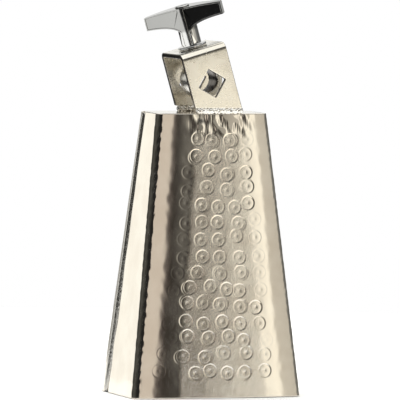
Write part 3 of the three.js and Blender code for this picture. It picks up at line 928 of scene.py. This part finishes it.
def make_threaded_shank():
    """The eye bolt's shank, with a real helical thread."""
    bottom = EYE_HEIGHT + EYE_BORE_RADIUS + EYE_WALL / 2
    top = handle_bottom + THREAD_REACH
    steps_round, per_pitch = 36, 8
    rows = int((top - bottom) / THREAD_PITCH * per_pitch)
    vertices = [(0, 0, bottom)]
    for i in range(rows + 1):
        z = lerp(bottom, top, i / rows)
        for k in range(steps_round):
            angle = 2 * math.pi * k / steps_round
            phase = (z / THREAD_PITCH - k / steps_round) % 1
            root = THREAD_DEPTH * min(1.0, 1.25 * abs(2 * phase - 1))
            radius = THREAD_RADIUS - root
            vertices.append((radius * math.cos(angle), radius * math.sin(angle), z))
    vertices.append((0, 0, top))
    last = len(vertices) - 1
    faces = []
    for k in range(steps_round):
        nxt = (k + 1) % steps_round
        faces.append((0, 1 + nxt, 1 + k))
        faces.append((last, 1 + rows * steps_round + k, 1 + rows * steps_round + nxt))
        for i in range(rows):
            a, b = 1 + i * steps_round, 1 + (i + 1) * steps_round
            faces.append((a + k, a + nxt, b + nxt, b + k))
    vertices = [clamp_matrix @ Vector(v) for v in vertices]
    new_piece("threaded_shank", vertices, faces, "clamp_bolt", zinc_steel)


make_threaded_shank()

washer_profile = ring_profile(WASHER_BORE_RADIUS, WASHER_RADIUS, washer_bottom, washer_top,
                              WASHER_EDGE_RADIUS, 4)
turned("round_washer", washer_profile, "washer", bright_chrome, ("flat_washer",))

# ---------------------------------------------------------------- the nut's bush and handle


def bush_profile():
    """Barrel, neck and low domed cap, closed along the bore."""
    bore = THREAD_RADIUS + CLEARANCE
    shoulder = handle_bottom + BARREL_HEIGHT
    edge = BARREL_EDGE_RADIUS
    dome = arc(NECK_RADIUS - CAP_EDGE_RADIUS, cap_top - CAP_EDGE_RADIUS, CAP_EDGE_RADIUS, 0, 80, 8)
    return ([(bore, handle_bottom)]
            + arc(BARREL_RADIUS - edge, handle_bottom + edge, edge, -90, 0, 5)
            + arc(BARREL_RADIUS - edge, shoulder - edge, edge, 0, 90, 5)
            + [(NECK_RADIUS, shoulder)]
            + dome
            + [(0, cap_top), (0, cap_top - CAP_WALL), (bore, cap_top - CAP_WALL)])


turned("bush_barrel", bush_profile(), "clamp_nut", bright_chrome, ("nut_bush",))


def curve_points(start, control, end, steps=16):
    """Points of a quadratic curve, without its first point."""
    points = []
    for i in range(1, steps + 1):
        t = i / steps
        corners = zip(start, control, end)
        points.append(tuple(lerp(lerp(a, b, t), lerp(b, c, t), t) for a, b, c in corners))
    return points


def make_handle():
    """The T-shaped handle: its front outline, cut by its lozenge plan, with framed panels."""
    tip, stem = HANDLE_HALF_SPAN, HANDLE_HALF_STEM
    tip_top = handle_top - HANDLE_TOP_ARCH
    tip_bottom = tip_top - HANDLE_TIP_HEIGHT
    right = [(stem, handle_bottom), (stem, arm_bottom)]
    right += curve_points((stem, arm_bottom), (stem + HANDLE_ARM_HOLLOW, tip_bottom), (tip, tip_bottom))
    right += [(tip, tip_top)]
    right += curve_points((tip, tip_top), (tip / 2, handle_top), (0, handle_top))
    left = [(-x, z) for x, z in reversed(right[:-1])]
    front = prism(right + left, -2 * HANDLE_HALF_THICK, 2 * HANDLE_HALF_THICK,
                  lambda u, v, along: (u, along, v))
    handle = object_from(front, "t_handle_casting")
    flat = HANDLE_HALF_SPINE
    thin, thick = HANDLE_HALF_THIN, HANDLE_HALF_THICK
    half = [(tip, thin), (flat, thick), (-flat, thick), (-tip, thin)]
    plan = half + [(-x, -y) for x, y in half]
    tool = prism(plan, handle_bottom - HANDLE_HEIGHT, cap_top + HANDLE_HEIGHT,
                 lambda u, v, along: (u, v, along))
    carve(handle, object_from(tool, "plan_tool"), "INTERSECT")

    work = bmesh.new()
    work.from_mesh(handle.data)
    bmesh.ops.dissolve_limit(work, angle_limit=math.radians(0.5), verts=work.verts, edges=work.edges)
    upright = [face for face in work.faces if abs(face.normal.z) < 0.1]
    panels = [face for face in upright if face.calc_area() > SMALLEST_PANEL]
    bmesh.ops.inset_individual(work, faces=panels, thickness=PANEL_FRAME, depth=0, use_even_offset=True)
    bmesh.ops.inset_individual(work, faces=panels, thickness=PANEL_STEP, depth=-PANEL_DEPTH,
                               use_even_offset=False)
    work.to_mesh(handle.data)
    work.free()
    soften(handle, HANDLE_EDGE_RADIUS, 2, 20)
    handle.data.transform(clamp_matrix @ Matrix.Rotation(HANDLE_TURN, 4, "Z"))
    finish_piece(handle, "clamp_nut", bright_chrome, ("t_handle",))


make_handle()

# ---------------------------------------------------------------- finishes of the carried-over nodes

plate = frame["nodes"]["crown_plate"]
plate.data.materials.clear()
plate.data.materials.append(hammered_plate)

# ---------------------------------------------------------------- floor, world and lights


FLOOR_RADIUS = 0.6
FLOOR_DROP = 0.2 * MM


def make_stage():
    mesh = bpy.data.meshes.new("floor")
    rim = [(FLOOR_RADIUS * x, FLOOR_RADIUS * y, 0) for x, y in arc(0, 0, 1, 0, 357, 119)]
    mesh.from_pydata(rim, [], [tuple(range(len(rim)))])
    floor = bpy.data.objects.new("floor", mesh)
    bpy.context.scene.collection.objects.link(floor)
    floor.data.materials.append(make_floor())
    floor.location.z = -FLOOR_DROP


make_stage()

# The studio's walls by compass direction: degrees from -Y, positive towards +X, and their colour.
WALLS = (
    (-180, (0.30, 0.30, 0.29)), (-171, (0.42, 0.42, 0.41)), (-165, (1.15, 1.14, 1.08)),
    (-142, (1.22, 1.22, 1.18)), (-134, (0.06, 0.06, 0.055)), (-105, (0.07, 0.07, 0.065)),
    (-85, (0.09, 0.09, 0.085)), (-60, (0.05, 0.05, 0.045)), (-35, (0.02, 0.02, 0.02)),
    (-7, (0.02, 0.02, 0.02)), (-3, (0.72, 0.65, 0.58)), (7, (0.72, 0.65, 0.58)),
    (9, (0.10, 0.085, 0.08)), (13, (0.04, 0.035, 0.03)), (15, (0.08, 0.075, 0.07)),
    (20, (0.24, 0.23, 0.205)), (23.5, (0.62, 0.59, 0.53)), (27, (1.10, 1.06, 0.95)),
    (32, (1.22, 1.17, 1.04)), (33.5, (0.66, 0.62, 0.55)), (52, (0.60, 0.57, 0.51)),
    (75, (0.20, 0.20, 0.19)), (120, (0.10, 0.10, 0.10)), (145, (0.85, 0.85, 0.83)),
    (172, (1.0, 1.0, 0.98)),
)
# The same below the horizon, past the edge of the floor.
LOW_WALLS = (
    (-180, (0.05, 0.05, 0.05)), (-135, (0.04, 0.04, 0.04)), (-85, (0.15, 0.15, 0.14)),
    (-60, (0.05, 0.05, 0.05)), (-5, (0.02, 0.02, 0.02)), (3, (0.6, 0.54, 0.44)),
    (12, (1.70, 1.62, 1.42)), (60, (1.56, 1.49, 1.30)), (80, (0.2, 0.2, 0.2)),
    (130, (0.15, 0.15, 0.15)), (150, (0.3, 0.3, 0.3)), (180, (0.05, 0.05, 0.05)),
)
DARK_GAP = (0.05, 0.05, 0.05)
CEILING = (1.15, 1.15, 1.13)
# Where each gives way to the next: sines of the rise, then degrees over the horizon.
LOW_WALLS_SINES = (-0.035, -0.060)
DARK_GAP_DEGREES = (15, 17.5)
CEILING_DEGREES = (30, 34)


def make_world():
    """A soft studio round the object: walls, a dark gap, a bright ceiling and a white backdrop."""
    world = bpy.data.worlds.new("studio")
    bpy.context.scene.world = world
    world.use_nodes = True
    nodes, links = world.node_tree.nodes, world.node_tree.links
    nodes.clear()

    def math_node(operation, first, second=0.0):
        node = nodes.new("ShaderNodeMath")
        node.operation = operation
        for socket, value in zip(node.inputs, (first, second)):
            if isinstance(value, (int, float)):
                socket.default_value = value
            else:
                links.new(value, socket)
        return node.outputs["Value"]

    def span(value, low, high):
        node = nodes.new("ShaderNodeMapRange")
        node.inputs["From Min"].default_value = low
        node.inputs["From Max"].default_value = high
        links.new(value, node.inputs["Value"])
        return node.outputs["Result"]

    def ramp(value, stops):
        node = nodes.new("ShaderNodeValToRGB")
        node.color_ramp.interpolation = "EASE"
        elements = node.color_ramp.elements
        elements.remove(elements[-1])
        elements[0].position = 0
        for i, (angle, color) in enumerate(stops):
            element = elements[0] if i == 0 else elements.new((angle + 180) / 360)
            element.color = (*color, 1)
        links.new(value, node.inputs["Fac"])
        return node.outputs["Color"]

    def blend(factor, first, second):
        node = nodes.new("ShaderNodeMix")
        node.data_type = "RGBA"
        links.new(factor, node.inputs["Factor"])
        for socket, value in zip((node.inputs[6], node.inputs[7]), (first, second)):
            if isinstance(value, tuple):
                socket.default_value = (*value, 1)
            else:
                links.new(value, socket)
        return node.outputs[2]

    place = nodes.new("ShaderNodeTexCoord")
    parts = nodes.new("ShaderNodeSeparateXYZ")
    links.new(place.outputs["Generated"], parts.inputs["Vector"])
    turn = math_node("ARCTAN2", parts.outputs["X"], math_node("MULTIPLY", parts.outputs["Y"], -1.0))
    compass = span(turn, -math.pi, math.pi)
    rise = parts.outputs["Z"]
    walls = blend(span(rise, *LOW_WALLS_SINES), ramp(compass, WALLS), ramp(compass, LOW_WALLS))
    above_walls = span(rise, *(math.sin(math.radians(angle)) for angle in DARK_GAP_DEGREES))
    at_ceiling = span(rise, *(math.sin(math.radians(angle)) for angle in CEILING_DEGREES))
    color = blend(at_ceiling, blend(above_walls, walls, DARK_GAP), CEILING)
    studio = nodes.new("ShaderNodeBackground")
    links.new(color, studio.inputs["Color"])
    backdrop = nodes.new("ShaderNodeBackground")
    backdrop.inputs["Color"].default_value = (1, 1, 1, 1)
    path = nodes.new("ShaderNodeLightPath")
    mix = nodes.new("ShaderNodeMixShader")
    links.new(path.outputs["Is Camera Ray"], mix.inputs["Fac"])
    links.new(studio.outputs["Background"], mix.inputs[1])
    links.new(backdrop.outputs["Background"], mix.inputs[2])
    output = nodes.new("ShaderNodeOutputWorld")
    links.new(mix.outputs["Shader"], output.inputs["Surface"])


make_world()


SUN_ENERGY = 2.1
SUN_ANGLE = math.radians(50)
SUN_TILT = (math.radians(-12), math.radians(-10), 0)


def add_floor_light():
    """A broad overhead sun that lights the floor evenly and leaves the metal to the studio's walls."""
    data = bpy.data.lights.new("overhead", "SUN")
    data.energy = SUN_ENERGY
    data.angle = SUN_ANGLE
    light = bpy.data.objects.new("overhead", data)
    bpy.context.scene.collection.objects.link(light)
    light.rotation_euler = SUN_TILT
    light.visible_glossy = False


add_floor_light()

# ---------------------------------------------------------------- camera

CAMERA_AZIMUTH = math.radians(-20)
CAMERA_ELEVATION = math.radians(3.82)
CAMERA_ROLL = math.radians(0.88)
CAMERA_DISTANCE = 3.6
CAMERA_LENS = 600
SENSOR_WIDTH = 36
AIM_HEIGHT = 0.1045
AIM_ACROSS = -0.0011


def make_camera():
    data = bpy.data.cameras.new("camera")
    data.lens = CAMERA_LENS
    data.sensor_width = SENSOR_WIDTH
    data.clip_start = 0.1
    data.clip_end = 200
    camera = bpy.data.objects.new("camera", data)
    bpy.context.scene.collection.objects.link(camera)
    back = Vector((
        math.sin(CAMERA_AZIMUTH) * math.cos(CAMERA_ELEVATION),
        -math.cos(CAMERA_AZIMUTH) * math.cos(CAMERA_ELEVATION),
        math.sin(CAMERA_ELEVATION),
    ))
    right = Vector((math.cos(CAMERA_AZIMUTH), math.sin(CAMERA_AZIMUTH), 0))
    camera.location = Vector((0, 0, BELL_HEIGHT / 2)) + back * CAMERA_DISTANCE
    aim = Vector((0, 0, AIM_HEIGHT)) + right * AIM_ACROSS
    look = (camera.location - aim).normalized()
    up = look.cross(right).normalized()
    level = up.cross(look).normalized()
    right_axis = level * math.cos(CAMERA_ROLL) + up * math.sin(CAMERA_ROLL)
    up_axis = up * math.cos(CAMERA_ROLL) - level * math.sin(CAMERA_ROLL)
    turn = Matrix((right_axis, up_axis, look)).transposed()
    camera.rotation_mode = "QUATERNION"
    camera.rotation_quaternion = turn.to_quaternion()
    bpy.context.scene.camera = camera


make_camera()
bpy.context.scene.view_settings.view_transform = "Standard"
bpy.context.scene.view_settings.look = "None"

low, high = cad_bounds
